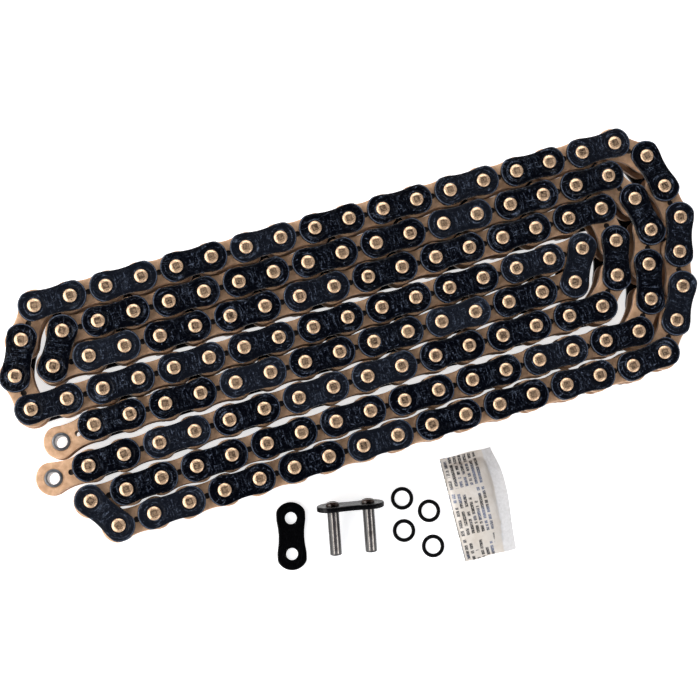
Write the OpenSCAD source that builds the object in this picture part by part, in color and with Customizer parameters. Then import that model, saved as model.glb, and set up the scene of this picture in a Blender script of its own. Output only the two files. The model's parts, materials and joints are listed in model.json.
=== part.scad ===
// Sealed motorcycle drive chain, folded flat, with its loose connecting link.
// The pins stand along Z and the chain rests on the lower rivet heads, at z = 0.
// Row headings run close to the X axis. The origin is under the middle of the laid-out set.

/* [Chain] */
// distance between neighbouring pin axes
pitch = 15.875; // [12:0.005:20]
// clear width between the inner plates
inner_width = 7.94; // [6:0.01:12]
// outside diameter of a roller
roller_diameter = 10.16; // [9:0.01:11.5]
// outside diameter of a bush
bush_diameter = 7.8; // [7:0.1:8.4]
// diameter of a pin shank
pin_diameter = 5.3; // [4.5:0.1:6]
// radial play of each turning fit
running_play = 0.05; // [0.02:0.01:0.1]

/* [Plates] */
// thickness of an inner plate
inner_thickness = 2.4; // [1.8:0.1:3]
// thickness of an outer plate
outer_thickness = 2.2; // [1.8:0.1:3]
// height of an inner plate
inner_height = 14.4; // [13:0.1:14.6]
// height of an outer plate
outer_height = 13; // [12:0.1:14]
// diameter of the hole midway along an inner plate
middle_hole = 2.6; // [1:0.1:4]

/* [Seals and rivets] */
// room for a seal between an inner and an outer plate
seal_gap = 1.4; // [1:0.1:2]
// how far a riveted pin end stands out from its plate
head_height = 0.9; // [0.5:0.1:1.5]
// diameter of a riveted pin end
head_diameter = 6; // [5.6:0.1:7]

/* [Loose parts] */
// free pin length of the connecting link
link_pin_length = 20.2; // [18:0.1:22]
// how far the heads of the connecting link's pins stand out from its plate
link_head_height = 1.6; // [0.5:0.1:2]
// outside diameter of a loose seal
loose_seal_diameter = 10.3; // [9:0.1:11]
// thickness of a loose seal
loose_seal_section = 1.75; // [1:0.05:2]
// width of the grease sachet at its ends
sachet_width = 24; // [15:1:30]
// length of the grease sachet
sachet_length = 47.8; // [35:0.1:60]
// how far the sachet's loose side bows out
sachet_bow = 2.8; // [0:0.1:4]

/* [Hidden] */
$fn = 48;
sliver = 0.02;
chamfer = 0.35;

// levels of the layers, from the floor up
lower_outer = head_height;
lower_inner = lower_outer + outer_thickness + seal_gap;
roller_floor = lower_inner + inner_thickness;
upper_inner = roller_floor + inner_width;
upper_outer = upper_inner + inner_thickness + seal_gap;
chain_height = upper_outer + outer_thickness + head_height;
bush_proud = 0.5;
roller_side_play = 0.27;
seal_height = seal_gap - 2 * sliver;
seal_width = 1.4;

// plate shapes: [half height, end radius, waist arc radius, half height at the waist]
outer_shape = [outer_height / 2, 7.2, 30, 5.7];
inner_shape = [inner_height / 2, 7.6, 22, 5.8];

// Where the folded rows lie. Each row is [pins, x, y, heading, bend a link] from its right end.
fit = pitch / 15.875;
row_a = [18, 134, 76, 179.8, -0.04];
row_b = [16, 126.5, 62.5, 180, -0.06];
row_c = [16, 118.5, 49, 180, -0.06];
row_d = [16, 88.5, 34, 179.6, 0];
row_e = [14, 80.5, 20.5, 179.6, 0.02];
row_f = [16, 105, 6.5, 179.2, 0.16];
row_g = [16, 117.5, -9, 178.8, 0.18];
row_h = [16, 110, -23, 178.6, 0.2];

function ray(angle) = [cos(angle), sin(angle)];

function run(p, angle, bend, pins) =
    pins == 1 ? [p] : concat([p], run(p + pitch * ray(angle), angle + bend, bend, pins - 1));

function leftward(row) = run(fit * [row[1], row[2]], row[3], row[4], row[0]);

function flip(list) = [for (i = [len(list) - 1 : -1 : 0]) list[i]];

function rightward(row) = flip(leftward(row));

function last(list) = list[len(list) - 1];

function steps(p, angles, i = 0) =
    i == len(angles) ? []
    : let (q = p + pitch * ray(angles[i])) concat([q], steps(q, angles, i + 1));

// the pin that is one pitch from both p and q, on the given side of the line between them
function apex(p, q, side) =
    let (d = q - p, away = sqrt(pitch * pitch - d * d / 4))
    (p + q) / 2 + side * away * [-d[1], d[0]] / norm(d);

// the pins of a turn from p to q: links at these headings, then one pin that closes the gap
function turn(p, angles, q, side) =
    let (s = steps(p, angles)) concat(s, [apex(last(concat([p], s)), q, side)]);

a = rightward(row_a);
b = leftward(row_b);
c = rightward(row_c);
d = leftward(row_d);
e = rightward(row_e);
f = leftward(row_f);
g = rightward(row_g);
h = leftward(row_h);

// every joint of the chain in order, from one empty end bush to the other
joints = concat(
    [e[0] + pitch * ray(190)], e,
    turn(last(e), [0], d[0], -1), d,
    turn(last(d), [99], a[0], 1), a,
    turn(last(a), [-38, -77, -81, -110, -103, -119], h[0], 1), h,
    turn(last(h), [], g[0], 1), g,
    turn(last(g), [51, 75, 68], b[0], -1), b,
    turn(last(b), [179], c[0], -1), c,
    turn(last(c), [-83], f[0], 1), f,
    [last(f) + pitch * ray(182)]);
links = len(joints) - 1;

// Link i joins joint i to joint i + 1, and odd links are outer ones.
// The folded chain opens at its turns, so each section is [name, first link, last link].
sections = [
    ["lower_rows", 59, 92],
    ["outer_turn", 52, 58],
    ["upper_rows", 16, 51],
    ["inner_turn", 93, 95],
    ["middle_rows", 96, 130],
    ["short_turn_a", 15, 15],
    ["end_row_a", 1, 14],
    ["short_turn_b", 131, 131],
    ["end_row_b", 132, 147],
    ["end_link_a", 0, 0],
    ["end_link_b", 148, 148]];

function outer_links(s) = [for (i = [s[1] : s[2]]) if (i % 2 == 1) i];
function inner_links(s) = [for (i = [s[1] : s[2]]) if (i % 2 == 0) i];
function ends_of(list) = [for (i = list) each [i, i + 1]];

// the rollers on the two empty end bushes turn on their own
function roller_joints(s) = [for (k = ends_of(inner_links(s))) if (k > 0 && k < links) k];

// a seal goes with its inner link, but at the end links with the outer one beside it
function seal_owner(k) = k == 1 ? 1 : k == links - 1 ? links - 2 : k - k % 2;
function seal_joints(s) =
    [for (k = [1 : links - 1]) if (seal_owner(k) >= s[1] && seal_owner(k) <= s[2]) k];

kinds = ["outer_plates", "inner_plates", "pins", "bushes", "rollers", "seals"];

function members(s, kind) =
    kind == "outer_plates" ? outer_links(s)
    : kind == "inner_plates" ? inner_links(s)
    : kind == "pins" ? ends_of(outer_links(s))
    : kind == "bushes" ? ends_of(inner_links(s))
    : kind == "rollers" ? roller_joints(s)
    : seal_joints(s);

function node_name(s, kind) = str(s[0], "_", kind);

chain_nodes = [for (s = sections) for (k = kinds) if (len(members(s, k)) > 0) node_name(s, k)];

module plate_outline(shape) {
    half = shape[0];
    end_radius = shape[1];
    arc = shape[2];
    waist = shape[3];
    difference() {
        intersection() {
            union() {
                for (x = [0, pitch]) translate([x, 0]) circle(r = end_radius);
                translate([0, -end_radius]) square([pitch, 2 * end_radius]);
            }
            translate([-end_radius, -half]) square([pitch + 2 * end_radius, 2 * half]);
        }
        for (side = [-1, 1]) translate([pitch / 2, side * (waist + arc)]) circle(r = arc);
    }
}

module outer_plate() {
    linear_extrude(outer_thickness) difference() {
        plate_outline(outer_shape);
        for (x = [0, pitch]) translate([x, 0]) circle(d = pin_diameter + sliver);
    }
}

module inner_plate() {
    linear_extrude(inner_thickness) difference() {
        plate_outline(inner_shape);
        for (x = [0, pitch]) translate([x, 0]) circle(d = bush_diameter + sliver);
        translate([pitch / 2, 0]) circle(d = middle_hole);
    }
}

module along_link(i) {
    step = joints[i + 1] - joints[i];
    translate([joints[i][0], joints[i][1], 0]) rotate(atan2(step[1], step[0])) children();
}

module at_joint(k, z) translate([joints[k][0], joints[k][1], z]) children();

module tube(outside, inside, height) {
    linear_extrude(height) difference() {
        circle(d = outside);
        circle(d = inside);
    }
}

module riveted_pin() {
    shank = pin_diameter / 2;
    head = head_diameter / 2;
    inset = head_height;
    top = chain_height;
    rotate_extrude() polygon([
        [0, 0], [head - chamfer, 0], [head, chamfer], [head, inset], [shank, inset],
        [shank, top - inset], [head, top - inset], [head, top - chamfer],
        [head - chamfer, top], [0, top]]);
}

module outer_plates(list) {
    color("#171a24") for (i = list) {
        along_link(i) translate([0, 0, lower_outer]) outer_plate();
        along_link(i) translate([0, 0, upper_outer]) outer_plate();
    }
}

module inner_plates(list) {
    color("#c79a68") for (i = list) {
        along_link(i) translate([0, 0, lower_inner]) inner_plate();
        along_link(i) translate([0, 0, upper_inner]) inner_plate();
    }
}

module pins(list) {
    color("#d8b07a") for (k = list) at_joint(k, 0) riveted_pin();
}

module bushes(list) {
    bush_length = inner_width + 2 * inner_thickness + 2 * bush_proud;
    color("#8d9096") for (k = list) at_joint(k, lower_inner - bush_proud)
        tube(bush_diameter, pin_diameter + 2 * running_play, bush_length);
}

module rollers(list) {
    color("#6d7077") for (k = list) at_joint(k, roller_floor + roller_side_play)
        tube(roller_diameter, bush_diameter + 2 * running_play, inner_width - 2 * roller_side_play);
}

module seals(list) {
    inside = bush_diameter + 2 * sliver;
    outside = inside + 2 * seal_width;
    color("#202124") for (k = list) {
        at_joint(k, lower_outer + outer_thickness + sliver) tube(outside, inside, seal_height);
        at_joint(k, upper_outer - seal_gap + sliver) tube(outside, inside, seal_height);
    }
}

module section_part(s, kind) {
    list = members(s, kind);
    if (kind == "outer_plates") outer_plates(list);
    if (kind == "inner_plates") inner_plates(list);
    if (kind == "pins") pins(list);
    if (kind == "bushes") bushes(list);
    if (kind == "rollers") rollers(list);
    if (kind == "seals") seals(list);
}

// the second plate of the connecting link, lying flat
module loose_plate() {
    color("#171a24") translate([-55.5, -42.5, 0]) rotate(-105) outer_plate();
}

// The connecting link leans on the edge of its plate and on its two pin tips.
edge_drop = outer_height / 2 - pin_diameter / 2;
link_tilt = atan2(edge_drop, link_pin_length);
link_lift = outer_thickness * sin(link_tilt) + outer_height / 2 * cos(link_tilt);

module lay_pin_link() {
    translate([-36.5, -42.5, link_lift]) rotate(-12) rotate([90 + link_tilt, 0, 0]) children();
}

module pin_link_plate() {
    color("#171a24") lay_pin_link() outer_plate();
}

// Each pin has a shallow relief groove where it leaves the plate.
link_pin_relief = 0.7;

module pin_link_pins() {
    shank = pin_diameter / 2;
    head = head_diameter / 2;
    face = outer_thickness;
    relief = face + link_pin_relief;
    tip = face + link_pin_length;
    color("#8d9096") lay_pin_link() for (x = [0, pitch]) translate([x, 0, 0])
        rotate_extrude() polygon([
            [0, -link_head_height], [head - chamfer, -link_head_height],
            [head, chamfer - link_head_height],
            [head, 0], [shank, 0], [shank, face], [shank - 0.2, face], [shank - 0.2, relief],
            [shank, relief], [shank, tip - chamfer], [shank - chamfer, tip], [0, tip]]);
}

module loose_seals() {
    thick = loose_seal_section / 2;
    color("#202124") for (p = [[-5, -49], [5, -58], [-8.5, -63], [2, -73.5]])
        translate([p[0], p[1], thick]) rotate_extrude()
            translate([loose_seal_diameter / 2 - thick, 0]) circle(r = thick, $fn = 24);
}

// a flat film envelope with a filled middle and an empty strip along its bowed side
module grease_sachet() {
    film = 0.5;
    border = 1.5;
    strip = 5;
    end_seal = 5;
    crown = 2.6;
    side = sachet_width / 2;
    end = sachet_length / 2;
    half = (sachet_width - border - strip) / 2;
    arc = (half * half + crown * crown) / (2 * crown);
    color("#e9e3cf") translate([27.3, -61.7, 0]) rotate(-3.3) {
        linear_extrude(film) polygon([
            [-side, -end], [side, -end], [side + sachet_bow * 0.85, end * 0.1],
            [side + sachet_bow, end * 0.38], [side + sachet_bow * 0.75, end * 0.62],
            [side, end], [-side, end]]);
        translate([(border - strip) / 2, end - end_seal, 0]) rotate([90, 0, 0])
            linear_extrude(sachet_length - 2 * end_seal) intersection() {
                translate([0, film + crown - arc]) circle(r = arc);
                translate([-half, film / 2]) square([2 * half, 2 * crown]);
            }
    }
}

for (s = sections) for (kind = kinds)
    section_part(s, kind);
rollers([0]);  // end_roller_a
rollers([links]);  // end_roller_b
loose_plate();
pin_link_plate();
pin_link_pins();
loose_seals();
grease_sachet();
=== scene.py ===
"""The looks of the folded drive chain and its loose connecting link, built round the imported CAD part."""

import json
import math
import random

import bpy
import numpy as np
from mathutils import Matrix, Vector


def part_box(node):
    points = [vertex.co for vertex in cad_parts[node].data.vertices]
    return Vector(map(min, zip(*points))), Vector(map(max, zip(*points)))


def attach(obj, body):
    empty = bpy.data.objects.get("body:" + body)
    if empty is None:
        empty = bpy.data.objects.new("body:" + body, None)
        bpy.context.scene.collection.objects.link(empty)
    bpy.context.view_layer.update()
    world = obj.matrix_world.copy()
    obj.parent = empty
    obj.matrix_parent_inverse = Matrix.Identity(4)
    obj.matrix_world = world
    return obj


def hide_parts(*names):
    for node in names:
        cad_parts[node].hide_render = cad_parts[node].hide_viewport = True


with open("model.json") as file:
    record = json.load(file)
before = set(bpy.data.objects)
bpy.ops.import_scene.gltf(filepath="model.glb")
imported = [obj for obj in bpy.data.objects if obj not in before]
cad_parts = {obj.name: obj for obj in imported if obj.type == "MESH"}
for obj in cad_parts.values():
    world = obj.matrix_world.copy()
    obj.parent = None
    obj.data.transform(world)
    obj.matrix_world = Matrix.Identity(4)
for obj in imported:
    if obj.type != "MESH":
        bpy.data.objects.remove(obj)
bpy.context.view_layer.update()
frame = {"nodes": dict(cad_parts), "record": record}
random.seed(7)

# Real sizes in mm. Meshes are built in mm and scaled to metres when they are placed.
MM = 0.001
PITCH = 15.875
HOLE_OUTER = 2.66
HOLE_INNER = 3.91
MIDDLE_HOLE = 1.3
HEAD = 0.9
PIN_RADIUS = 2.65
HEAD_RADIUS = 3.0
# outside and inside radii of the turned pieces and the seals between the plates
BUSH_RADII = (3.9, 2.7)
ROLLER_RADII = (5.08, 3.95)
SEAL_RADII = (3.94, 5.34)


# ---------------------------------------------------------------- reading the frame


def solids(node):
    """The points of each solid of a CAD node, in mm."""
    mesh = frame["nodes"][node].data
    co = np.zeros(len(mesh.vertices) * 3, np.float32)
    mesh.vertices.foreach_get("co", co)
    ends = np.zeros(len(mesh.edges) * 2, np.int32)
    mesh.edges.foreach_get("vertices", ends)
    grid = np.round(co.reshape(-1, 3).astype(float) * 1e6).astype(np.int64)
    points, same = np.unique(grid, axis=0, return_inverse=True)
    a, b = same.reshape(-1)[ends.reshape(-1, 2)].T
    label = np.arange(len(points))
    while True:
        low = np.minimum(label[a], label[b])
        new = label.copy()
        np.minimum.at(new, a, low)
        np.minimum.at(new, b, low)
        new = new[new]
        if (new == label).all():
            break
        label = new
    return [points[label == k] / 1000 for k in np.unique(label)]


def axes(points):
    """The centre of some points and their three main directions, longest first."""
    centre = points.mean(0)
    _, vectors = np.linalg.eigh(np.cov((points - centre).T))
    return centre, vectors[:, ::-1].T


def heading(points):
    """The direction of the longest side seen from above, as an angle."""
    _, vectors = np.linalg.eigh(np.cov((points[:, :2] - points[:, :2].mean(0)).T))
    return math.atan2(vectors[1, 1], vectors[0, 1])


def at(x, y, z, angle=0.0, upside_down=False):
    """A placement matrix, in mm."""
    m = Matrix.Translation((x, y, z)) @ Matrix.Rotation(angle, 4, "Z")
    if upside_down:
        m = m @ Matrix.Rotation(math.pi, 4, "X")
    return np.array(m)


# ---------------------------------------------------------------- mesh building


class Shape:
    """Points and faces in mm, with each point's own spot on its piece for the materials."""

    def __init__(self):
        self.points = []
        self.faces = []

    def ring(self, points):
        first = len(self.points)
        self.points.extend([tuple(map(float, p)) for p in points])
        return list(range(first, first + len(points)))

    def bridge(self, a, b, closed=True):
        """Faces between two rings of the same length. The second one lies further out or further down."""
        n = len(a)
        for i in range(n if closed else n - 1):
            j = (i + 1) % n
            self.faces.append((a[i], a[j], b[j], b[i])[::-1])

    def fan(self, ring, centre, down=False):
        c = self.ring([centre])[0]
        n = len(ring)
        for i in range(n):
            j = (i + 1) % n
            self.faces.append((ring[j], ring[i], c) if down else (ring[i], ring[j], c))

    def welded(self):
        """The arrays of this shape with coinciding points merged."""
        points = np.array(self.points)
        _, first, same = np.unique(
            np.round(points * 1e4).astype(np.int64), axis=0, return_index=True, return_inverse=True
        )
        same = same.reshape(-1)
        faces = []
        for face in self.faces:
            merged = [int(same[i]) for i in face]
            kept = [v for i, v in enumerate(merged) if v != merged[i - 1]]
            if len(set(kept)) > 2:
                faces.append(kept)
        return points[first], faces


def circle(r, z, n):
    turns = [math.tau * i / n for i in range(n)]
    return [(r * math.cos(t), r * math.sin(t), z) for t in turns]


def lathe(profile, n):
    """A turned ring from (radius, height) pairs that run down the outside and up the inside."""
    shape = Shape()
    rings = [shape.ring(circle(r, z, n)) for r, z in profile]
    for a, b in zip(rings, rings[1:]):
        shape.bridge(a, b)
    shape.bridge(rings[-1], rings[0])
    return shape


def resample(line, n):
    """n points at equal steps along a line of points."""
    line = np.array(line)
    length = np.concatenate([[0], np.cumsum(np.linalg.norm(np.diff(line, axis=0), axis=1))])
    t = np.linspace(0, length[-1], n)
    return np.stack([np.interp(t, length, line[:, i]) for i in range(2)], 1)


def half_outline(half, end, arc, waist, n):
    """Half of a plate's outline, round a hole at the origin, from the top of the waist anticlockwise."""
    middle = PITCH / 2
    reach = math.sqrt(arc**2 - (waist + arc - half) ** 2)
    corner = math.acos(half / end)
    line = [(middle - x, waist + arc - math.sqrt(arc**2 - x**2)) for x in np.linspace(0, reach, 30)]
    line += [(x, half) for x in np.linspace(middle - reach, -end * math.sin(corner), 12)[1:-1]]
    turn = np.linspace(math.pi / 2 + corner, math.pi, 40)
    line += [(end * math.cos(t), end * math.sin(t)) for t in turn]
    line += [(x, -y) for x, y in line[-2::-1]]
    line = resample(line, 241)
    # the outline is rounded together with a little of its mirror image at both ends
    mirrored = line * [-1, 1] + [2 * middle, 0]
    soft = np.concatenate([mirrored[1:13][::-1], line, mirrored[-13:-1][::-1]])
    for _ in range(40):
        soft[1:-1] = (soft[:-2] + 2 * soft[1:-1] + soft[2:]) / 4
    return resample(soft[12:-12], n)


def plate(half, end, arc, waist, thickness, hole, middle_hole, steps, dark_sheet=False):
    """A link plate round the origin. Its outer face is up, with steps of (radius, rise) round each hole."""
    n = 37
    bevel = 0.42
    under = 0.3
    rim = half_outline(half, end, arc, waist, n)
    along = np.gradient(rim, axis=0)
    out = np.stack([along[:, 1], -along[:, 0]], 1)
    out /= np.linalg.norm(out, axis=1)[:, None]
    out[0], out[-1] = (0, 1), (0, -1)
    if (out[n // 2] @ rim[n // 2]) < 0:
        out[1:-1] *= -1
    middle = PITCH / 2

    def seam(top):
        """The line between the two halves, bottom to top, passing round the middle hole."""
        bottom_line = [(middle, y) for y in np.linspace(-top, -middle_hole, 5)[1:-1]]
        if middle_hole > 0:
            turn = np.linspace(-math.pi / 2, math.pi / 2, 11)
            bend = [(middle - middle_hole * math.cos(t), middle_hole * math.sin(t)) for t in turn]
        else:
            bend = [(middle, 0)]
        return bottom_line + bend + [(x, -y) for x, y in bottom_line[::-1]]

    shape = Shape()

    def face(z, inset, rise, radii, down):
        """One face of the left half, and its outline ring."""
        edge = [tuple(p) for p in rim - out * inset]
        loop = edge + seam(edge[0][1])
        angle = [math.atan2(y, x) for x, y in loop]
        rings = []
        for r, lift in radii:
            rings.append(shape.ring([(r * math.cos(t), r * math.sin(t), z + rise * lift) for t in angle]))
        rings.append(shape.ring([(x, y, z) for x, y in loop]))
        for a, b in zip(rings, rings[1:]):
            if down:
                shape.bridge(b, a)
            else:
                shape.bridge(a, b)
        return rings

    top = face(thickness, bevel, 1, steps, False)
    bottom = face(0, under, 0, [(hole + 0.2, 0)], True)
    previous = top[-1][:n]
    for k in range(1, 4):
        t = k / 3 * math.pi / 2
        inset, drop = bevel * (1 - math.sin(t)), bevel * (1 - math.cos(t))
        ring = shape.ring([(x, y, thickness - drop) for x, y in rim - out * inset])
        shape.bridge(previous, ring, closed=False)
        previous = ring
    for k in range(2):
        t = k / 2 * math.pi / 2
        inset, rise = under * (1 - math.cos(t)), under * (1 - math.sin(t))
        ring = shape.ring([(x, y, rise) for x, y in rim - out * inset])
        shape.bridge(previous, ring, closed=False)
        previous = ring
    shape.bridge(previous, bottom[-1][:n], closed=False)
    angle = [math.atan2(shape.points[i][1], shape.points[i][0]) for i in top[0]]
    walls = [top[0]]
    for r, z in [(hole, steps[0][1] + thickness - 0.2), (hole, 0.2)]:
        walls.append(shape.ring([(r * math.cos(t), r * math.sin(t), z) for t in angle]))
    walls.append(bottom[0])
    for a, b in zip(walls, walls[1:]):
        shape.bridge(b, a)
    if middle_hole > 0:
        bend_top = top[-1][n + 3 : n + 14]
        bend_bottom = bottom[-1][n + 3 : n + 14]
        # a dark sheet across the middle hole is painted shade, hiding the floor below
        if dark_sheet:
            round_hole = [shape.points[i][:2] for i in bend_top]
            shade_sheet = [shape.ring([(x, y, z) for x, y in round_hole]) for z in (thickness - 0.5, 0.5)]
            shape.bridge(bend_top, shade_sheet[0], closed=False)
            shape.bridge(shade_sheet[1], bend_bottom, closed=False)
            for ring, z, down in ((shade_sheet[0], thickness - 0.8, False), (shade_sheet[1], 0.8, True)):
                centre = shape.ring([(middle, 0, z)])[0]
                for i, j in zip(ring, ring[1:]):
                    shape.faces.append((i, j, centre) if down else (j, i, centre))
        else:
            shape.bridge(bend_top, bend_bottom, closed=False)
    # the right half is the left half turned round the middle of the plate
    points = list(shape.points)
    faces = list(shape.faces)
    size = len(points)
    shape.points = [(x - middle, y, z) for x, y, z in points] + [(middle - x, -y, z) for x, y, z in points]
    shape.faces = faces + [tuple(i + size for i in f) for f in faces]
    return shape


def squircle(side, radius, blend, z, n):
    """A ring between a square of that half side and a circle."""
    ring = []
    for i in range(n):
        t = math.tau * (i + 0.5) / n
        c, s = math.cos(t), math.sin(t)
        k = side / max(abs(c), abs(s))
        ring.append(((1 - blend) * k * c + blend * radius * c, (1 - blend) * k * s + blend * radius * s, z))
    return ring


def staked_end(shape, z, up, tall=HEAD, n=32):
    """A riveted pin end struck with a square punch, this tall. Returns its ring at the plate."""
    s = 1 if up else -1
    rings = [
        squircle(0.55, 0, 0, z - s * 0.16, n),
        squircle(1.12, 0, 0, z - s * 0.16, n),
        squircle(1.24, 0, 0, z - s * 0.02, n),
        squircle(1.34, 0, 0, z, n),
        squircle(1.75, 2.0, 0.4, z - s * 0.09, n),
        squircle(2.15, 2.5, 0.9, z - s * 0.28, n),
        squircle(0, 2.8, 1, z - s * 0.46, n),
        squircle(0, 2.95, 1, z - s * 0.6, n),
        squircle(0, HEAD_RADIUS, 1, z - s * 0.74, n),
        squircle(0, HEAD_RADIUS, 1, z - s * tall, n),
        squircle(0, PIN_RADIUS, 1, z - s * tall, n),
    ]
    rings = [shape.ring(r) for r in rings]
    centre = shape.ring([(0, 0, z - s * 0.16)])[0]
    for i in range(n):
        j = (i + 1) % n
        shape.faces.append((rings[0][i], rings[0][j], centre) if up else (rings[0][j], rings[0][i], centre))
    for a, b in zip(rings, rings[1:]):
        if up:
            shape.bridge(a, b)
        else:
            shape.bridge(b, a)
    return rings[-1]


def riveted_pin(height):
    shape = Shape()
    top = staked_end(shape, height, True)
    bottom = staked_end(shape, 0, False)
    shape.bridge(top, bottom)
    return shape


def tube(outside, inside, height, edge, n=40):
    """A turned tube with rounded edges, from z = 0."""
    soft = edge * 0.3
    return lathe(
        [
            (inside + edge, height), (outside - edge, height), (outside - soft, height - soft),
            (outside, height - edge), (outside, edge), (outside - soft, soft), (outside - edge, 0),
            (inside + edge, 0), (inside, edge), (inside, height - edge),
        ],
        n,
    )


def seal_ring(inside, outside, height, n=36):
    """A rubber seal with a rounded section and a groove round each face, from z = 0."""
    middle, half, wide = (inside + outside) / 2, height / 2, (outside - inside) / 2
    profile = []
    for k in range(12):
        t = math.tau * (k + 0.5) / 12
        bulge = 1 - 0.12 * math.cos(2 * t) ** 2
        profile.append((middle - wide * math.cos(t) * bulge, half + half * math.sin(t) * bulge))
    low = min(z for _, z in profile)
    high = max(z for _, z in profile)
    return lathe([(r, (z - low) / (high - low) * height) for r, z in profile], n)


def build(name, shape, places, body, material, nodes, sharp=32):
    """One object with a copy of the shape at each place, riding on a body and standing for CAD nodes."""
    points, faces = shape.welded()
    v = np.concatenate([points, np.ones((len(points), 1))], 1)
    co = np.concatenate([(v @ m.T)[:, :3] for m in places]) * MM
    all_faces = [[i + k * len(points) for i in f] for k in range(len(places)) for f in faces]
    mesh = bpy.data.meshes.new(name)
    mesh.from_pydata(co.tolist(), [], all_faces)
    spot = mesh.attributes.new("spot", "FLOAT_VECTOR", "POINT")
    spot.data.foreach_set("vector", np.tile(points, (len(places), 1)).astype(np.float32).ravel())
    tone = mesh.attributes.new("tone", "FLOAT", "POINT")
    tones = [random.random() for _ in places]
    tone.data.foreach_set("value", np.repeat(tones, len(points)).astype(np.float32))
    mesh.shade_smooth()
    mesh.set_sharp_from_angle(angle=math.radians(sharp))
    mesh.materials.append(material)
    piece = bpy.data.objects.new(name, mesh)
    bpy.context.scene.collection.objects.link(piece)
    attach(piece, body)
    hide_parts(*nodes)
    return piece


# ---------------------------------------------------------------- materials


class Look:
    """A node material, with short names for the nodes it uses."""

    def __init__(self, name, **values):
        self.material = bpy.data.materials.new(name)
        self.material.use_nodes = True
        self.tree = self.material.node_tree
        self.surface = self.tree.nodes["Principled BSDF"]
        for key, value in values.items():
            self.surface.inputs[key.replace("_", " ")].default_value = value
        self.spot = self.read("spot", "Vector")
        self.tone = self.read("tone", "Fac")

    def read(self, name, output):
        node = self.tree.nodes.new("ShaderNodeAttribute")
        node.attribute_name = name
        return node.outputs[output]

    def link(self, value, socket):
        if isinstance(value, bpy.types.NodeSocket):
            self.tree.links.new(value, socket)
        else:
            socket.default_value = value

    def math(self, kind, a, b=0.0, c=0.0):
        node = self.tree.nodes.new("ShaderNodeMath")
        node.operation = kind
        for socket, value in zip(node.inputs, (a, b, c)):
            self.link(value, socket)
        return node.outputs[0]

    def split(self, vector):
        node = self.tree.nodes.new("ShaderNodeSeparateXYZ")
        self.link(vector, node.inputs[0])
        return node.outputs

    def join(self, x, y, z):
        node = self.tree.nodes.new("ShaderNodeCombineXYZ")
        for socket, value in zip(node.inputs, (x, y, z)):
            self.link(value, socket)
        return node.outputs[0]

    def fit(self, value, low, high, to_low=0.0, to_high=1.0, smooth=False):
        node = self.tree.nodes.new("ShaderNodeMapRange")
        if smooth:
            node.interpolation_type = "SMOOTHSTEP"
        for socket, v in zip(node.inputs, (value, low, high, to_low, to_high)):
            self.link(v, socket)
        return node.outputs[0]

    def noise(self, vector, scale, detail=2.0, roughness=0.5, distortion=0.0):
        node = self.tree.nodes.new("ShaderNodeTexNoise")
        self.link(vector, node.inputs["Vector"])
        settings = {"Scale": scale, "Detail": detail, "Roughness": roughness, "Distortion": distortion}
        for key, value in settings.items():
            node.inputs[key].default_value = value
        return node.outputs["Fac"]

    def mix(self, amount, a, b):
        node = self.tree.nodes.new("ShaderNodeMix")
        node.data_type = "RGBA"
        self.link(amount, node.inputs[0])
        self.link(a if isinstance(a, bpy.types.NodeSocket) else (*a, 1), node.inputs[6])
        self.link(b if isinstance(b, bpy.types.NodeSocket) else (*b, 1), node.inputs[7])
        return node.outputs[2]

    def moved(self, scale=(1, 1, 1)):
        """The spot on the piece, shifted by its tone so that no two pieces look the same."""
        x, y, z = self.split(self.spot)
        far = self.math("MULTIPLY", self.tone, 400.0)
        return self.join(
            self.math("MULTIPLY_ADD", x, scale[0], far),
            self.math("MULTIPLY_ADD", y, scale[1], far),
            self.math("MULTIPLY", z, scale[2]),
        )

    def length(self, x, y):
        return self.math("SQRT", self.math("ADD", self.math("MULTIPLY", x, x), self.math("MULTIPLY", y, y)))

    def hole_distance(self):
        """The distance to the nearer hole of a link plate, in mm."""
        x, y, _ = self.split(self.spot)
        return self.length(self.math("SUBTRACT", self.math("ABSOLUTE", x), PITCH / 2), y)

    def bump(self, height, strength, distance):
        node = self.tree.nodes.new("ShaderNodeBump")
        node.inputs["Strength"].default_value = strength
        node.inputs["Distance"].default_value = distance
        self.link(height, node.inputs["Height"])
        self.tree.links.new(node.outputs[0], self.surface.inputs["Normal"])
        self.tree.links.new(node.outputs[0], self.surface.inputs["Coat Normal"])

    def set(self, name, value):
        self.link(value, self.surface.inputs[name])


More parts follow.
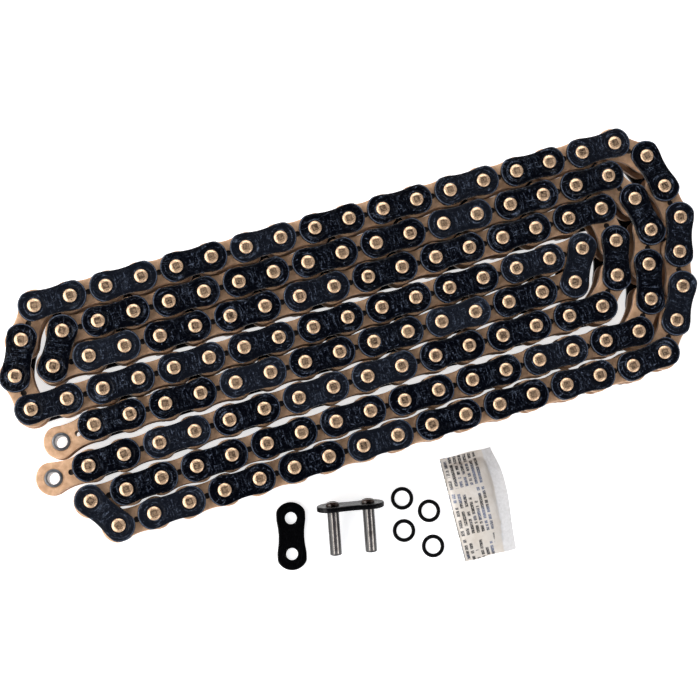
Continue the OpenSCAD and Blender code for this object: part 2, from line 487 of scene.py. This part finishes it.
def black_look(name, oily):
    """Blued black plate. The oily one carries brush rings round its holes and smears of lube, painted
    paler; these pale marks are partly the plate's own marks and partly painted sheen.
    """
    look = Look(name, Coat_Weight=0.25 if oily else 0.1, Coat_Roughness=0.15, Specular_IOR_Level=0.08)
    x, y, _ = look.split(look.spot)
    from_centre = look.math("ABSOLUTE", x)
    far = look.math("MULTIPLY", look.tone, 400.0)
    near = look.hole_distance()
    smear_and_sheen = look.noise(look.moved((0.5, 1.1, 1)), 0.42, 4.0, 0.6, 2.2)
    grain = look.noise(look.moved(), 1.5, 3.0, 0.65)
    brushed = look.join(
        look.math("MULTIPLY", near, 1.1),
        look.math("MULTIPLY_ADD", x, 0.16, far),
        look.math("MULTIPLY", y, 0.16),
    )
    rings = look.noise(brushed, 0.95, 3.0, 0.55, 0.3)
    round_holes = look.fit(near, 7.4, 5.0, 0.2, 1.0, True)
    # a worn patch in the middle of the plate, where short strokes cross it, painted paler: partly wear,
    # partly painted sheen
    strokes = look.noise(look.moved((1.5, 0.3, 1)), 0.9, 3.0, 0.65, 0.3)
    middle = look.math(
        "MULTIPLY", look.fit(from_centre, 4.2, 3.2), look.fit(look.math("ABSOLUTE", y), 4.4, 3.4)
    )
    # painted highlight: a thin paler line round each end, just inside the pressed edge, where the bevel
    # would catch the light
    off_highlight_line = look.math("ABSOLUTE", look.math("SUBTRACT", near, 6.75))
    line = look.math("SUBTRACT", 1.0, look.math("MULTIPLY", off_highlight_line, 3.2))
    line = look.math("MULTIPLY", line, look.fit(from_centre, PITCH / 2 - 1.5, PITCH / 2 + 1.5))
    # painted sheen: the paler rings, smears and strokes stand partly for real marks and partly for
    # reflections painted into the colour
    light = look.math("MULTIPLY", look.fit(rings, 0.55, 0.72, 0.0, 0.9, True), round_holes)
    light = look.math("MAXIMUM", light, look.fit(smear_and_sheen, 0.59, 0.69, 0.0, 1.0, True))
    crossed = look.math("MULTIPLY", look.fit(strokes, 0.54, 0.68, 0.0, 0.8), middle)
    light = look.math("MAXIMUM", light, crossed)
    light = look.math("MULTIPLY", light, look.fit(grain, 0.40, 0.62, 0.05, 1.0))
    # painted shade: the marks fade out at the plate's very edge, where its side curves away from the light,
    # and also where it narrows beside the worn patch
    inside = look.math("MAXIMUM", look.fit(near, 6.6, 5.7), look.fit(from_centre, 3.4, 2.8))
    narrow = look.math("ABSOLUTE", look.math("SUBTRACT", from_centre, 4.3))
    inside = look.math("MULTIPLY", inside, look.fit(narrow, 0.2, 0.9, 0.1, 1.0))
    light = look.math("MULTIPLY", light, inside)
    # the painted highlight line goes on over the faded marks
    light = look.math("MAXIMUM", light, look.math("MULTIPLY", line, look.fit(grain, 0.35, 0.65, 0.2, 1.0)))
    if oily:
        base = look.mix(look.fit(look.tone, 0.65, 1.0), (0.0003, 0.0006, 0.0020), (0.0060, 0.0075, 0.0120))
        colour = look.mix(light, base, (0.110, 0.136, 0.192))
    else:
        colour = look.mix(light, (0.0012, 0.0012, 0.0015), (0.006, 0.006, 0.007))
    look.set("Base Color", colour)
    look.set("Roughness", look.fit(smear_and_sheen, 0.35, 0.7, 0.2, 0.36))
    height = look.math("MULTIPLY_ADD", rings, 0.8, smear_and_sheen)
    height = look.math("MULTIPLY_ADD", grain, 0.3, height)
    look.bump(height, 0.6 if oily else 0.2, 0.0003)
    return look.material


def gold_plate_look(face):
    """Gold-dipped plate, a little stained round its holes, with painted shade on its sides and a dark sheet
    in the hole midway along it that stands for painted shade.
    """
    look = Look("gold_plate", Metallic=0.15, Specular_IOR_Level=0.5)
    broad = look.noise(look.moved(), 0.35, 3.0, 0.6, 0.4)
    grain = look.noise(look.moved((1, 1, 0.4)), 4.5, 3.0, 0.6)
    near = look.hole_distance()
    stain = look.fit(look.math("MULTIPLY_ADD", broad, 3.0, near), 5.3, 6.6, 1.0, 0.0, True)
    colour = look.mix(look.fit(broad, 0.35, 0.68), (0.56, 0.322, 0.182), (0.77, 0.49, 0.30))
    colour = look.mix(look.math("MULTIPLY", stain, 0.35), colour, (0.48, 0.27, 0.15))
    colour = look.mix(look.fit(grain, 0.60, 0.74, 0.0, 0.35), colour, (0.40, 0.25, 0.15))
    x, y, z = look.split(look.spot)
    # painted shade browns the rim and the side that faces the rollers, where neighbouring links shade it
    colour = look.mix(look.fit(z, face - 0.5, face - 0.2, 0.5, 0.0), colour, (0.26, 0.135, 0.07))
    # painted shade: the sheet in the middle hole is coloured dark
    in_shade_sheet = look.fit(look.length(x, y), MIDDLE_HOLE + 0.02, MIDDLE_HOLE - 0.02)
    colour = look.mix(in_shade_sheet, colour, (0.022, 0.013, 0.008))
    look.set("Base Color", colour)
    look.set("Roughness", look.fit(grain, 0.3, 0.7, 0.34, 0.52))
    look.bump(look.math("MULTIPLY_ADD", grain, 0.6, broad), 0.25, 0.00012)
    return look.material


def gold_pin_look():
    """Gold riveted pin with a worn square mark struck into each end."""
    look = Look("gold_pin", Metallic=0.65)
    x, y, _ = look.split(look.spot)
    side = look.math("MAXIMUM", look.math("ABSOLUTE", x), look.math("ABSOLUTE", y))
    scratch = look.noise(look.moved(), 2.2, 4.0, 0.65)
    pitted = look.noise(look.moved(), 1.0, 3.0, 0.65)
    rim = look.math("MULTIPLY", look.fit(side, 0.95, 1.15), look.fit(side, 1.45, 1.25))
    floor = look.math("MULTIPLY", look.fit(side, 1.3, 1.1), look.fit(pitted, 0.40, 0.62, 0.3, 1.0))
    mark = look.math("MULTIPLY", look.math("MAXIMUM", rim, floor), look.fit(look.tone, 0, 0.8, 0.75, 1.0))
    colour = look.mix(look.fit(scratch, 0.3, 0.7), (0.46, 0.265, 0.145), (0.92, 0.66, 0.43))
    colour = look.mix(mark, colour, (0.045, 0.025, 0.015))
    look.set("Base Color", colour)
    look.set("Roughness", look.math("MULTIPLY_ADD", mark, 0.2, look.fit(scratch, 0.3, 0.7, 0.22, 0.4)))
    look.bump(look.math("MULTIPLY_ADD", pitted, 0.5, look.math("MULTIPLY", scratch, 0.3)), 0.5, 0.00018)
    return look.material


def steel_look(name, low, high, rough, lathe_marks=0.0, along=(1, 1, 1), ends=None, shaded_flanks=None):
    """Turned or ground steel.

    ends is (height, colour) and tints all below that height, such as a head.
    The last argument is (half width, tip height); it paints shade on a pin's sides and darkens the pin
    towards its tip.
    """
    look = Look(name, Metallic=1.0)
    x, y, z = look.split(look.spot)
    fine = look.noise(look.moved(along), 2.4, 4.0, 0.6)
    broad = look.noise(look.moved(), 0.3, 2.0, 0.5)
    patches = look.math("MULTIPLY_ADD", broad, 0.6, look.math("MULTIPLY", fine, 0.4))
    colour = look.mix(look.fit(patches, 0.35, 0.65), low, high)
    if shaded_flanks is not None:
        half_width, tip = shaded_flanks
        # painted shade darkens the pin's sides; the pin also darkens towards its tip
        film = look.fit(look.math("ABSOLUTE", x), half_width * 0.36, half_width * 0.46)
        film = look.math("MAXIMUM", film, look.fit(z, tip - 1.1, tip - 0.7))
        colour = look.mix(film, colour, (0.03, 0.028, 0.027))
        look.set("Metallic", look.fit(film, 0.0, 1.0, 1.0, 0.0))
    if ends is not None:
        below, tint = ends
        colour = look.mix(look.fit(z, below - 0.05, below + 0.05, 1.0, 0.0), colour, tint)
    look.set("Base Color", colour)
    look.set("Roughness", look.fit(fine, 0.3, 0.7, rough, rough + 0.16))
    height = fine
    if lathe_marks > 0:
        marks = look.math("SINE", look.math("MULTIPLY", look.length(x, y), 22.0))
        height = look.math("MULTIPLY_ADD", marks, lathe_marks, fine)
    look.bump(height, 0.3, 0.00008)
    return look.material


def rubber_look():
    look = Look("seal_rubber", Specular_IOR_Level=0.06)
    fine = look.noise(look.moved(), 3.0, 3.0, 0.6)
    dust = look.noise(look.moved(), 0.7, 3.0, 0.6)
    dusty = look.fit(dust, 0.45, 0.75)
    look.set("Base Color", look.mix(dusty, (0.0012, 0.0012, 0.0014), (0.006, 0.006, 0.007)))
    look.set("Roughness", look.fit(dust, 0.3, 0.7, 0.3, 0.45))
    look.bump(fine, 0.2, 0.0001)
    return look.material


def film_look(width, bow):
    """Cream film with an empty strip along its bowed side and blocks of plain printed bars, not letters."""
    look = Look("sachet_film", Specular_IOR_Level=0.5, Coat_Weight=0.2, Coat_Roughness=0.25)
    x, y, _ = look.split(look.spot)
    blotch = look.noise(look.spot, 0.16, 3.0, 0.6)
    crease = look.noise(look.spot, 0.9, 3.0, 0.6)
    # how far the bowed side stands out at this height
    up = look.math("DIVIDE", look.math("SUBTRACT", y, 5.0), 27.0)
    bulge = look.math("SUBTRACT", 1.0, look.math("MULTIPLY", up, up))
    out = look.math("MULTIPLY", look.math("MAXIMUM", bulge, 0.0), bow)
    from_side = look.math("SUBTRACT", look.math("ADD", out, width / 2), x)
    body = look.mix(look.fit(blotch, 0.3, 0.7), (0.60, 0.54, 0.47), (0.71, 0.665, 0.61))
    empty = look.mix(look.fit(crease, 0.3, 0.7), (0.63, 0.62, 0.61), (0.74, 0.73, 0.73))
    strip = look.fit(look.math("MULTIPLY_ADD", blotch, -2.0, from_side), 4.4, 5.0, 1.0, 0.0)
    colour = look.mix(strip, body, empty)
    # lines of print run along the sachet, in blocks, each line broken into bars
    row = look.math("DIVIDE", look.math("ADD", x, 50.2), 2.3)
    number = look.math("FLOOR", row)
    across = look.math("FRACT", row)
    run = look.math("DIVIDE", look.math("ADD", y, 55.5), 21.5)
    along = look.math("FRACT", run)
    line_seed = look.math("MULTIPLY", number, 9.7)
    seed = look.join(line_seed, look.math("MULTIPLY", look.math("FLOOR", run), 5.3), 1.0)
    reach = look.fit(look.noise(seed, 1.0, 0.0), 0.35, 0.65, 0.66, 0.93)
    inked = look.math("MULTIPLY", look.fit(across, 0.14, 0.2), look.fit(across, 0.80, 0.74))
    inked = look.math("MULTIPLY", inked, look.math("LESS_THAN", along, reach))
    inked = look.math("MULTIPLY", inked, look.fit(from_side, 9.3, 9.6))
    words = look.noise(look.join(line_seed, y, 3.0), 0.8, 0.0)
    ticks = look.noise(look.join(look.math("MULTIPLY", number, 3.1), y, x), 2.2, 1.0)
    inked = look.math("MULTIPLY", inked, look.fit(words, 0.36, 0.40))
    inked = look.math("MULTIPLY", inked, look.fit(ticks, 0.38, 0.50, 0.35, 0.95))
    cool = look.noise(look.spot, 0.1, 1.0)
    ink = look.mix(look.fit(cool, 0.48, 0.62), (0.012, 0.013, 0.018), (0.13, 0.16, 0.25))
    look.set("Base Color", look.mix(inked, colour, ink))
    look.set("Roughness", look.fit(crease, 0.3, 0.7, 0.28, 0.45))
    look.bump(look.math("MULTIPLY_ADD", blotch, 2.0, crease), 0.3, 0.0003)
    return look.material


thickness = {kind: np.ptp(solids(f"lower_rows_{kind}_plates")[0][:, 2]) for kind in ("outer", "inner")}

BLACK = black_look("black_plate", True)
CLEAN_BLACK = black_look("black_plate_clean", False)
GOLD = gold_plate_look(thickness["inner"])
PIN = gold_pin_look()
BUSH = steel_look("steel_bush", (0.15, 0.15, 0.155), (0.33, 0.33, 0.34), 0.28, 0.3)
ROLLER = steel_look("steel_roller", (0.17, 0.14, 0.12), (0.30, 0.26, 0.23), 0.3, 0.0, (1, 1, 0.2))
RUBBER = rubber_look()
LOOKS = {
    "outer_plates": ("black_plate", BLACK),
    "inner_plates": ("gold_plate", GOLD),
    "pins": ("gold_pin", PIN),
    "bushes": ("steel_bush", BUSH),
    "rollers": ("steel_roller", ROLLER),
    "seals": ("seal_rubber", RUBBER),
}


# ---------------------------------------------------------------- the chain

bodies = frame["record"]["behaviour"]["bodies"]
body_of = {node: body for body, nodes in bodies.items() for node in nodes}
chain_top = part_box("lower_rows_pins")[1].z / MM

OUTER_STEPS = [(HOLE_OUTER + 0.2, 0.0), (3.3, 0.0), (3.75, -0.1), (4.2, -0.1), (4.5, 0.0), (5.5, 0.0)]
INNER_STEPS = [(HOLE_INNER + 0.2, 0.0), (4.6, 0.0), (4.8, -0.05), (5.1, 0.0), (5.8, 0.0)]


def plates_at(node):
    """Where each plate of a node lies, with its outer face away from the chain's middle."""
    places = []
    for p in solids(node):
        (x, y), low, high = p[:, :2].mean(0), p[:, 2].min(), p[:, 2].max()
        below = (low + high) / 2 < chain_top / 2
        places.append(at(x, y, high if below else low, heading(p), below))
    return places


def rounds_at(node):
    """Where each turned piece of a node stands, and its height."""
    found = [(p[:, 0].mean(), p[:, 1].mean(), p[:, 2].min(), np.ptp(p[:, 2])) for p in solids(node)]
    return [at(x, y, z, random.random() * math.tau) for x, y, z, _ in found], found[0][3]


OUTER = plate(6.5, 7.2, 30, 5.7, thickness["outer"], HOLE_OUTER, 0, OUTER_STEPS)
INNER = plate(7.2, 7.6, 22, 5.8, thickness["inner"], HOLE_INNER, MIDDLE_HOLE, INNER_STEPS)
# inner plates whose middle hole is closed by a dark sheet of painted shade
SHADE_SHEETED = plate(7.2, 7.6, 22, 5.8, thickness["inner"], HOLE_INNER, MIDDLE_HOLE, INNER_STEPS, True)

LOOSE = ("loose_plate", "pin_link_plate", "pin_link_pins", "loose_seals", "grease_sachet")

for node in sorted(set(frame["nodes"]) - set(LOOSE)):
    # the two end rollers are the only nodes of the chain not named after their kind
    kind = next((k for k in LOOKS if node.endswith("_" + k)), "rollers")
    slot, material = LOOKS[kind]
    if kind == "outer_plates":
        places, shape = plates_at(node), OUTER
    elif kind == "inner_plates":
        places, shape = plates_at(node), INNER if node.startswith("end_link_a") else SHADE_SHEETED
    elif kind == "pins":
        beside = [(p[:, :2].mean(0), heading(p)) for p in solids(node.replace("_pins", "_outer_plates"))]
        places = []
        for p in solids(node):
            centre = p[:, :2].mean(0)
            angle = min(beside, key=lambda b: np.linalg.norm(b[0] - centre))[1]
            angle += math.radians(random.uniform(-9, 9))
            places.append(at(centre[0], centre[1], p[:, 2].min(), angle))
        shape = riveted_pin(chain_top)
    else:
        places, height = rounds_at(node)
        if kind == "bushes":
            shape = tube(*BUSH_RADII, height, 0.3)
        elif kind == "rollers":
            shape = tube(*ROLLER_RADII, height, 0.3)
        else:
            shape = seal_ring(*SEAL_RADII, height)
    build("fine_" + node, shape, places, body_of[node], material, [node])


# ---------------------------------------------------------------- the loose parts

p = solids("loose_plate")[0]
build(
    "fine_loose_plate", OUTER, [at(p[:, 0].mean(), p[:, 1].mean(), p[:, 2].min(), heading(p))],
    body_of["loose_plate"], CLEAN_BLACK, ["loose_plate"],
)

# The connecting link's plate stands on its edge. Its own outer face looks away from the pins.
link_plate = solids("pin_link_plate")[0]
link_pins = solids("pin_link_pins")
middle, directions = axes(link_plate)
length_way = directions[0]
inward = np.mean([q.mean(0) for q in link_pins], 0) - middle
inward -= (inward @ length_way) * length_way
inward /= np.linalg.norm(inward)
outward = -inward
across = np.cross(outward, length_way)


def framed(origin, x, y, z):
    m = np.eye(4)
    m[:3, 0], m[:3, 1], m[:3, 2], m[:3, 3] = x, y, z, origin
    return m


build(
    "fine_pin_link_plate", OUTER,
    [framed(middle - outward * thickness["outer"] / 2, length_way, across, outward)],
    body_of["pin_link_plate"], CLEAN_BLACK, ["pin_link_plate"],
)

# Its pins run from a riveted head to a plain chamfered tip.
pin_tip = max(((q - middle) @ inward).max() for q in link_pins) - thickness["outer"] / 2
link_pin = Shape()
link_head = -min(((q - middle) @ inward).min() for q in link_pins) - thickness["outer"] / 2
head_low = staked_end(link_pin, -thickness["outer"] - link_head, False, link_head)
rings = [
    link_pin.ring(squircle(0, r, 1, z, 32))
    for r, z in [(PIN_RADIUS, pin_tip - 0.45), (2.6, pin_tip - 0.22), (2.3, pin_tip), (1.2, pin_tip)]
]
for a, b in zip(rings, rings[1:]):
    link_pin.bridge(b, a)
link_pin.bridge(rings[0], head_low)
link_pin.fan(rings[-1], (0, 0, pin_tip))
foot = middle + inward * thickness["outer"] / 2
bright = steel_look(
    "bright_pin", (0.14, 0.122, 0.108), (0.42, 0.385, 0.355), 0.12, 0.0, (1.2, 1.2, 0.02),
    (0.0, (0.045, 0.028, 0.022)), (HOLE_OUTER, pin_tip),
)
places = []
for q in link_pins:
    away = q.mean(0) - foot
    origin = foot + (away @ length_way) * length_way + (away @ across) * across
    places.append(framed(origin, length_way, -across, inward))
build(
    "fine_pin_link_pins", link_pin, places,
    body_of["pin_link_pins"], bright, ["pin_link_pins"],
)

loose = solids("loose_seals")
section = np.ptp(loose[0][:, 2]) / 2
mean_radius = np.ptp(loose[0][:, 0]) / 2 - section
turns = [math.tau * k / 16 for k in range(16)]
o_ring = lathe([(mean_radius - section * math.cos(t), section + section * math.sin(t)) for t in turns], 56)
build(
    "fine_loose_seals", o_ring, [at(q[:, 0].mean(), q[:, 1].mean(), q[:, 2].min(), 0) for q in loose],
    body_of["loose_seals"], RUBBER, ["loose_seals"], 60,
)

# ---------------------------------------------------------------- the grease sachet

envelope = np.concatenate(solids("grease_sachet"))


def turned_back(angle):
    """The envelope's outline turned back by an angle."""
    c, s = math.cos(angle), math.sin(angle)
    return envelope[:, :2] @ np.array([[c, -s], [s, c]])


# The sachet's own angle is the one that gives the smallest box round it.
angle = min(np.radians(np.arange(-15, 15, 0.05)), key=lambda a: np.prod(np.ptp(turned_back(a), axis=0)))
outline = turned_back(angle)
low, high = outline.min(0), outline.max(0)
corner = outline[outline[:, 1] > high[1] - 0.1, 0].max()
width, length, bow = corner - low[0], high[1] - low[1], high[0] - corner
crown = envelope[:, 2].max()
turn = np.array([[math.cos(angle), -math.sin(angle)], [math.sin(angle), math.cos(angle)]])
centre = turn @ ((low[0] + corner) / 2, (low[1] + high[1]) / 2)


def bowed(v):
    """How far the right side stands out at v, from -1 at the foot to 1 at the top."""
    if v < 0.38:
        return bow * math.sin((v + 1) / 1.38 * math.pi / 2) ** 1.2
    return bow * max(0.0, math.cos((v - 0.38) / 0.62 * math.pi / 2)) ** 1.3


def swell(u, v):
    """How full the sachet is at u, v, each from -1 to 1. The empty strip is on its right."""
    s = (u + 0.19 + 0.025 * math.sin(5.3 * v + 1) + 0.012 * math.sin(17 * v)) / 0.74
    inside = max(0.0, 1 - abs(s) ** 2.6) * max(0.0, 1 - abs(v / 0.84) ** 5)
    lump = 1 + 0.16 * math.sin(3.1 * v + 0.6) + 0.1 * math.sin(7.3 * v + 4 * u)
    return inside**0.62 * lump


sachet = Shape()
ACROSS, ALONG = 40, 76
film = 0.12
upper, lower = [], []
for j in range(ALONG + 1):
    v = 2 * j / ALONG - 1
    row_up, row_down = [], []
    for i in range(ACROSS + 1):
        u = 2 * i / ACROSS - 1
        edge_wave = 0.12 * (math.sin(6.1 * v + 1.3) - 1) * max(0, u) ** 6
        x = u * width / 2 + bowed(v) * (u + 1) / 2 + edge_wave
        y = v * length / 2 + 0.18 * math.sin(5 * u + 1) * v**8 - 0.2 * v**9
        full = swell(u, v)
        crimp = 0.07 * math.sin(60 * v) * max(0.0, abs(v) - 0.86) / 0.14
        curl = 0.45 * max(0, u) ** 5 * (0.55 + 0.45 * math.sin(3.7 * v + 0.4)) + 0.25 * abs(v) ** 14
        wrinkle = 0.10 * math.sin(11 * v + 6 * u) * math.sin(5 * u - 2 * v) * (1 - full / 1.3)
        base = max(0.0, curl + 0.05)
        filled = full * (crown - 0.62) / 1.22
        row_up.append((x, y, min(crown, base + film + filled + abs(wrinkle) + abs(crimp))))
        row_down.append((x, y, base * (1 - min(1, full))))
    upper.append(sachet.ring(row_up))
    lower.append(sachet.ring(row_down))
for j in range(ALONG):
    for i in range(ACROSS):
        sachet.faces.append((upper[j][i], upper[j][i + 1], upper[j + 1][i + 1], upper[j + 1][i]))
        sachet.faces.append((lower[j][i], lower[j + 1][i], lower[j + 1][i + 1], lower[j][i + 1]))
border = [(j, 0) for j in range(ALONG, 0, -1)] + [(0, i) for i in range(ACROSS)]
border += [(j, ACROSS) for j in range(ALONG)] + [(ALONG, i) for i in range(ACROSS, 0, -1)]
for (j, i), (k, m) in zip(border, border[1:] + border[:1]):
    sachet.faces.append((upper[j][i], lower[j][i], lower[k][m], upper[k][m]))
pouch = build(
    "fine_grease_sachet", sachet, [at(centre[0], centre[1], 0, angle)],
    body_of["grease_sachet"], film_look(width, bow), ["grease_sachet"], 50,
)


# ---------------------------------------------------------------- studio

scene = bpy.context.scene
scene.view_settings.view_transform = "Standard"

floor_mesh = bpy.data.meshes.new("floor")
floor_mesh.from_pydata([(-20, -20, 0), (20, -20, 0), (20, 20, 0), (-20, 20, 0)], [], [(0, 1, 2, 3)])
floor = bpy.data.objects.new("floor", floor_mesh)
scene.collection.objects.link(floor)
paper = bpy.data.materials.new("paper")
paper.use_nodes = True
white = paper.node_tree.nodes["Principled BSDF"]
white.inputs["Base Color"].default_value = (0.86, 0.86, 0.86, 1)
white.inputs["Roughness"].default_value = 0.9
white.inputs["Specular IOR Level"].default_value = 0.1
white.inputs["Emission Color"].default_value = (1, 1, 1, 1)
white.inputs["Emission Strength"].default_value = 0.7
floor_mesh.materials.append(paper)

world = bpy.data.worlds.new("studio")
scene.world = world
world.use_nodes = True
tree = world.node_tree
background = tree.nodes["Background"]
# The sky is dark overhead and bright round the sides, as in a light tent with an opening for the camera.
aim = tree.nodes.new("ShaderNodeTexCoord")
height = tree.nodes.new("ShaderNodeSeparateXYZ")
sky = tree.nodes.new("ShaderNodeValToRGB")
tree.links.new(aim.outputs["Generated"], height.inputs[0])
tree.links.new(height.outputs[2], sky.inputs[0])
# Its left side is the brighter one.
side = tree.nodes.new("ShaderNodeMapRange")
for socket, value in zip(list(side.inputs)[1:5], (-1.0, 1.0, 1.35, 0.5)):
    socket.default_value = value
tree.links.new(height.outputs[0], side.inputs[0])
tree.links.new(side.outputs[0], background.inputs["Strength"])
tree.links.new(sky.outputs[0], background.inputs["Color"])
stops = [
    (0.0, (0.75, 0.76, 0.80)), (0.45, (0.85, 0.86, 0.90)), (0.80, (0.34, 0.36, 0.42)),
    (0.93, (0.035, 0.04, 0.055)), (1.0, (0.012, 0.014, 0.02)),
]
for place, colour in stops[1:-1]:
    sky.color_ramp.elements.new(place)
for stop, (place, colour) in zip(sky.color_ramp.elements, stops):
    stop.position = place
    stop.color = (*colour, 1)


def lamp(name, where, size, power, colour=(1, 1, 1)):
    """A soft box aimed at the origin."""
    data = bpy.data.lights.new(name, "AREA")
    data.shape = "RECTANGLE"
    data.size, data.size_y = size
    data.energy = power
    data.color = colour
    light = bpy.data.objects.new(name, data)
    scene.collection.objects.link(light)
    z = np.array(where) / np.linalg.norm(where)
    x = np.cross((0, 0, 1), z)
    x /= np.linalg.norm(x)
    y = np.cross(z, x)
    way = Matrix((x, y, z)).transposed().to_4x4()
    light.matrix_world = Matrix.Translation(where) @ way
    light.visible_camera = False


lamp("key_left", (-0.95, 0.10, 0.60), (1.6, 0.9), 15.5, (1.0, 0.98, 0.95))
lamp("back_soft", (0.25, 0.85, 0.60), (0.9, 0.4), 5.0)
lamp("front_soft", (0.45, -0.75, 0.50), (0.7, 0.4), 2.5)

camera_data = bpy.data.cameras.new("camera")
camera_data.sensor_width = 36
camera_data.lens = 79.5
camera_data.clip_start = 0.01
camera = bpy.data.objects.new("camera", camera_data)
scene.collection.objects.link(camera)
right = np.array((0.9493, -0.2966, 0.1039))
back = np.array((-0.1303, -0.0706, 0.9890))
back /= np.linalg.norm(back)
up = np.cross(back, right)
up /= np.linalg.norm(up)
right = np.cross(up, back)
turned = Matrix((right, up, back)).transposed().to_4x4()
camera.matrix_world = Matrix.Translation((-0.0988, -0.0276, 0.6935)) @ turned
scene.camera = camera
